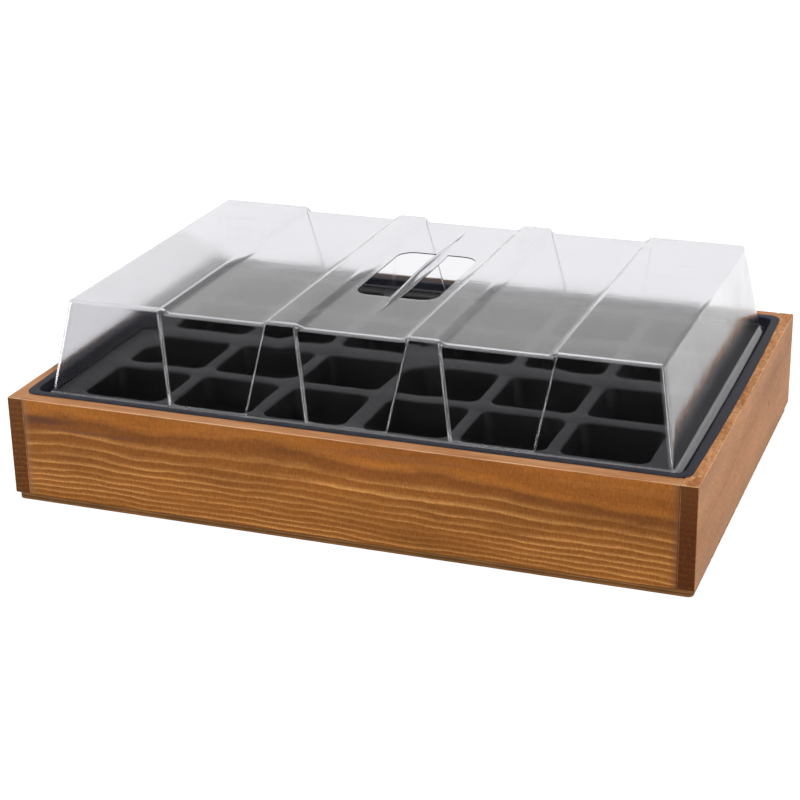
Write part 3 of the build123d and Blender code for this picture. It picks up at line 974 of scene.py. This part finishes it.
def make_dome(material):
    """Clear formed cover: flared foot, leaning walls with raised ribs and ends, vent and hollow ridge."""
    columns, rows = dome_columns(), dome_rows()
    foot = [(FOOT_LEAN * share, FOOT_HEIGHT * share, FOOT_RADIUS, FOOT_BOW) for share in (0.0, 0.45, 0.85)]
    foot += [(FOOT_LEAN + inset, FOOT_HEIGHT + rise, FOOT_RADIUS - tighter, FOOT_BOW * share)
             for inset, rise, tighter, share in SKIRT_PROFILE]
    rings = [dome_ring(GROOVE_FLOOR + rise, columns, rows, (*inset_by(FOOT_HALF, inset, inset), radius),
                       swell=swell)
             for inset, rise, radius, swell in foot]

    def wall_plan(climb, inset, radius):
        lean = climb * LEAN_BELOW_ROUND
        return (*inset_by(WALL_HALF, WALL_LEAN[0] * lean + inset, WALL_LEAN[1] * lean + inset), radius)

    for climb, step_share, drop_share, grow in WALL_PROFILE:
        rings.append(dome_ring(
            CREASE + (DOME_TOP - TOP_ROUND - CREASE) * climb, columns, rows,
            wall_plan(climb, -grow, DOME_RADIUS), climb, 0.0, TOP_STEP * drop_share, step_share))
    for step, (sine, cosine) in enumerate(quarter_turn(TOP_ROUND_STEPS, 1), 1):
        inset = TOP_ROUND * (1 - cosine)
        rings.append(dome_ring(
            DOME_TOP - TOP_ROUND * (1 - sine), columns, rows,
            wall_plan(1.0, inset, max(0.5, DOME_RADIUS - inset)), 1.0, step / TOP_ROUND_STEPS, TOP_STEP, 1.0))
    points, faces = loft(rings)
    last = rings[-1]
    start = len(points) - len(last)
    across, along = len(columns), len(rows)

    def border_index(column, row):
        """Place in the last ring of a point on the border of the top face."""
        if row == 0:
            return column
        if column == across - 1:
            return across - 1 + row
        if row == along - 1:
            return 2 * (across - 1) + along - 1 - column
        return (2 * (across - 1 + along - 1) - row) % len(last)

    indices = {}
    for row in range(along):
        for column in range(across):
            if row in (0, along - 1) or column in (0, across - 1):
                indices[column, row] = start + border_index(column, row)
                continue
            x = last[column][0]
            y = (last[border_index(column, along - 1)][1] * last[border_index(across - 1, row)][1]
                 / last[border_index(across - 1, along - 1)][1])
            height = DOME_TOP - TOP_STEP * columns[column][3]
            from_crest = abs(column - across // 2)
            if from_crest < len(RIDGE_PROFILE):
                x = x * max(RIDGE_LEAST_WIDTH, ridge_swell(y)) + RIDGE_SHIFT * ridge_swell(y)
                height += RIDGE_HEIGHT * ridge_climb(y) * RIDGE_PROFILE[from_crest][1]
            indices[column, row] = len(points)
            points.append((x, y, height))
    for row in range(along - 1):
        for column in range(across - 1):
            faces.append((indices[column, row], indices[column + 1, row],
                          indices[column + 1, row + 1], indices[column, row + 1]))
    piece = mesh_piece("dome_sheet", points, faces, material)
    tidy_mesh(piece)
    upright(piece)
    thickened(piece, DOME_SHEET, even=False)
    for side in (-1, 1):
        cutter = vent_cutter(side)
        cut = piece.modifiers.new("vent", "BOOLEAN")
        cut.operation = "DIFFERENCE"
        cut.object = cutter
        cut.solver = "EXACT"
        applied(piece)
        bpy.data.objects.remove(cutter)
    tidy_mesh(piece, math.radians(40))
    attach(piece, "cover")
    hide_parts("dome")


# Studio

BOX_LENGTH = 0.39
CAMERA_TURN = 20.611
CAMERA_RISE = 21.847
CAMERA_ROLL = -1.0007
CAMERA_PLACE = (-0.03057, 0.07781, 3.00243)
FOCAL_LENGTH = 1967.30
PHOTO_WIDTH = 800
SENSOR_WIDTH = 36.0


def make_camera():
    """Camera at the photograph's angle, distance and lens; its place is in box lengths, on its own axes."""
    turn, rise, roll = [math.radians(angle) for angle in (CAMERA_TURN, CAMERA_RISE, CAMERA_ROLL)]
    back = Vector((math.sin(turn) * math.cos(rise), -math.cos(turn) * math.cos(rise), math.sin(rise)))
    level_right = Vector((0.0, 0.0, 1.0)).cross(back).normalized()
    level_up = back.cross(level_right)
    right = level_right * math.cos(roll) + level_up * math.sin(roll)
    up = level_up * math.cos(roll) - level_right * math.sin(roll)
    axes = Matrix((right, up, back)).transposed()
    lens = bpy.data.cameras.new("camera")
    lens.sensor_width = SENSOR_WIDTH
    lens.lens = FOCAL_LENGTH / PHOTO_WIDTH * SENSOR_WIDTH
    camera = bpy.data.objects.new("camera", lens)
    camera.matrix_world = Matrix.Translation(axes @ Vector(CAMERA_PLACE) * BOX_LENGTH) @ axes.to_4x4()
    bpy.context.scene.collection.objects.link(camera)
    bpy.context.scene.camera = camera


# Lamps: name, place and size in metres, power in watts, and whether only gloss shows it
LAMPS = (
    ("key_softbox", (-0.5, -1.1, 1.25), (1.7, 1.7), 14.0, False),
    ("fill_softbox", (1.4, -0.4, 0.7), (0.8, 0.8), 4.4, False),
    ("left_strip", (-0.78, -0.4, 0.17), (0.22, 0.34), 2.2, True),
    ("right_strip", (0.76, -0.33, 0.17), (0.22, 0.34), 2.2, True),
    ("top_softbox", (0.1, 0.5, 1.5), (1.2, 1.2), 8.0, False))
LAMPS_FACE = (0.0, 0.0, 0.05)

# Brightness of the surroundings for the object, and of the dim room in front of the table, which lies within a
# cone: its direction, and the cosines at its inner and outer edge
AMBIENT_LEVEL = 0.56
DIM_ROOM = 0.008
DIM_WAY = (-0.35, -0.93, 0.03)
DIM_INSIDE, DIM_OUTSIDE = 0.91, 0.72

# Paper floor, in millimetres, and how much of the object's shadow it shows
FLOOR_REACH = 6000.0
FLOOR_FRONT = -750.0
FLOOR_LEVEL = -0.05
SHADOW_SHARE = 0.35


def make_light(name, place, size, power, only_gloss):
    """Soft lamp that faces the middle of the object."""
    data = bpy.data.lights.new(name, "AREA")
    data.shape = "RECTANGLE"
    data.size, data.size_y = size
    data.energy = power
    lamp = bpy.data.objects.new(name, data)
    lamp.visible_camera = False
    lamp.location = place
    lamp.rotation_euler = (Vector(place) - Vector(LAMPS_FACE)).to_track_quat("Z", "Y").to_euler()
    bpy.context.scene.collection.objects.link(lamp)
    if only_gloss:
        lamp.visible_diffuse = False
        lamp.visible_transmission = False


def make_world():
    """Even white surroundings with a dim room in front, which only gloss and clear sheets show."""
    world = bpy.data.worlds.new("studio")
    bpy.context.scene.world = world
    world.use_nodes = True
    start_tree(world.node_tree)
    path = add_node("LightPath").outputs
    way = add_node("TexCoord").outputs["Generated"]
    towards = add_node("VectorMath", {0: way, 1: DIM_WAY}, operation="DOT_PRODUCT").outputs["Value"]
    lit = scaled(towards, DIM_OUTSIDE, DIM_INSIDE, 1.0, 0.0, "SMOOTHSTEP")
    mirrored = maths("MAXIMUM", path["Is Glossy Ray"], path["Is Transmission Ray"])
    room = maths("MULTIPLY_ADD", lit, 1.0 - DIM_ROOM, DIM_ROOM)
    strength = result("Mix", {0: mirrored, 2: AMBIENT_LEVEL, 3: room})
    strength = result("Mix", {0: path["Is Camera Ray"], 2: strength, 3: 1.0})
    add_node("OutputWorld", {"Surface": result("Background", {"Color": 1.0, "Strength": strength})})


def make_floor():
    """White paper that the box stands on, wide behind and ending at the table's front edge."""
    corners = [(x, y, FLOOR_LEVEL) for x, y in ((-FLOOR_REACH, FLOOR_FRONT), (FLOOR_REACH, FLOOR_FRONT),
                                                (FLOOR_REACH, FLOOR_REACH), (-FLOOR_REACH, FLOOR_REACH))]
    floor = mesh_piece("paper_floor", corners, [(0, 1, 2, 3)], paper_material())


# Colours of the stained boards, linear, and their rings

HONEY = (0.25, 0.083, 0.013)
HONEY_DARK = (0.2, 0.064, 0.012)
ORANGE = (0.355, 0.118, 0.017)
ORANGE_DEEP = (0.29, 0.092, 0.014)
TAN = (0.47, 0.22, 0.095)
TAN_DARK = (0.36, 0.155, 0.06)
LINE_GOLD = (0.62, 0.29, 0.085)
LINE_PALE = (0.55, 0.28, 0.13)
END_RINGS = [(0.0, (0.084, 0.021, 0.002)), (0.5, (0.095, 0.024, 0.002)), (0.9, (0.115, 0.031, 0.003)),
             (1.0, (0.086, 0.022, 0.002))]
LEFT_END_RINGS = [(0.0, (0.105, 0.031, 0.004)), (0.5, (0.13, 0.04, 0.006)), (0.9, (0.165, 0.055, 0.01)),
                  (1.0, (0.11, 0.034, 0.005))]
RUBBED = [(0.3, (0.33, 0.13, 0.045)), (0.5, (0.43, 0.195, 0.08)), (0.8, (0.5, 0.26, 0.13))]
BLOTCHY = [(0.3, (0.27, 0.085, 0.022)), (0.47, (0.4, 0.16, 0.055)), (0.6, (0.47, 0.21, 0.085)),
           (0.8, (0.52, 0.26, 0.12))]

# Slab-sawn wood of the front and back boards, and the quieter wood of the side boards
FLAME = {
    "length_axis": 0, "rings": (0.0344, 222.0, 2900.0),
    "zones": [(0.024, ORANGE), (0.031, ORANGE_DEEP), (0.0331, ORANGE), (0.0346, HONEY_DARK),
              (0.0375, (0.225, 0.074, 0.012)), (0.041, HONEY), (0.068, (0.28, 0.094, 0.014))],
    "line_colour": LINE_GOLD,
    "line_share": [(0.024, 0.1), (0.0335, 0.1), (0.0355, 0.1), (0.0395, 0.85), (0.068, 0.9)]}
QUIET = {
    "length_axis": 1, "rings": (0.02, 300.0, 0.0),
    "zones": [(0.1, TAN), (0.125, TAN_DARK), (0.14, TAN), (0.17, (0.43, 0.19, 0.08))],
    "line_colour": LINE_PALE, "line_share": [(0.1, 0.25), (0.17, 0.4)]}

# Resin streak at the upper left in two parts, a paler left end, a dark right end and a stain under the top edge
FRONT_MARKS = (
    spot((-178.0, -135.0, 50.5), (34.0, 20.0, 3.4), 0.2, 0.3, 2.0, 0.8, (0.105, 0.036, 0.02)),
    spot((-145.0, -135.0, 46.2), (50.0, 20.0, 1.8), 0.2, 0.3, 4.0, 0.55, (0.13, 0.05, 0.026)),
    tint_band(0, -185.6, -181.0, 0.55, 0.0, (0.29, 0.16, 0.075)),
    tint_band(0, 181.5, 185.3, 0.0, 0.75, (0.14, 0.058, 0.024)),
    spot((35.0, -135.0, 56.0), (70.0, 20.0, 4.0), 0.2, 0.5, 6.0, 0.35, (0.22, 0.085, 0.035)))
# Painted shade on the back board's top, up to near its right end, and on the left one's, from behind its front
# end
BACK_TOP_SHADE = (tint_band(0, 150.0, 172.0, 0.92, 0.0, (0.03, 0.017, 0.01)),)
LEFT_TOP_SHADE = (tint_band(1, -93.0, -75.0, 0.0, 0.85, (0.035, 0.022, 0.014)),)
# Small knot towards the back of the right board's outer face, and torn, blotchy fibres on its rubbed top
RIGHT_MARKS = (spot((195.0, 61.0, 31.5), (20.0, 3.6, 3.4), 0.15, 0.35, 3.0, 0.75, (0.2, 0.09, 0.045)),)
RIGHT_TOP_MARKS = (torn_fibres([(0.52, 0.0), (0.66, 0.75)], (0.62, 0.36, 0.15)),
                   torn_fibres([(0.32, 0.8), (0.46, 0.0)], (0.2, 0.06, 0.016)))

make_board("front_board", wood_material(
    "front_board_pine", pith=(0.0625, -0.1027), drift=(0.0, -0.0183, -0.0937), end_colours=END_RINGS,
    top_colours=RUBBED, seed=1.0, grain=0.42, marks=FRONT_MARKS, **FLAME))
make_board("back_board", wood_material(
    "back_board_pine", pith=(0.07, 0.1), drift=(0.02, 0.01, 0.05), end_colours=END_RINGS,
    top_colours=RUBBED, seed=12.0, top_marks_and_shade=BACK_TOP_SHADE, **FLAME))
make_board("right_side_board", wood_material(
    "right_board_pine", pith=(-0.085, 0.185), drift=(0.06, 0.0, 0.0), end_colours=END_RINGS,
    top_colours=BLOTCHY, seed=23.0, grain=0.62, marks=RIGHT_MARKS, top_marks_and_shade=RIGHT_TOP_MARKS, **QUIET))
make_board("left_side_board", wood_material(
    "left_board_pine", pith=(-0.08, -0.187), drift=(0.04, 0.0, 0.0), end_colours=LEFT_END_RINGS,
    top_colours=RUBBED, seed=31.0, grain=0.4, top_marks_and_shade=LEFT_TOP_SHADE, **QUIET))
make_base(plywood_material())
steel = steel_material()
for node in ("corner_pins", "base_pins"):
    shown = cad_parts[node]
    shown.data.materials.clear()
    shown.data.materials.append(steel)
make_tray(black_sheet_material("tray_black", (0.009, 0.0097, 0.015), 0.45, 0.1, 2.0))
make_insert(black_sheet_material("insert_black", (0.0006, 0.0006, 0.0008), 0.42, 0.28, 15.0))
make_dome(clear_sheet_material())

make_camera()
make_world()
for lamp in LAMPS:
    make_light(*lamp)
make_floor()

bpy.context.scene.view_settings.view_transform = "Standard"
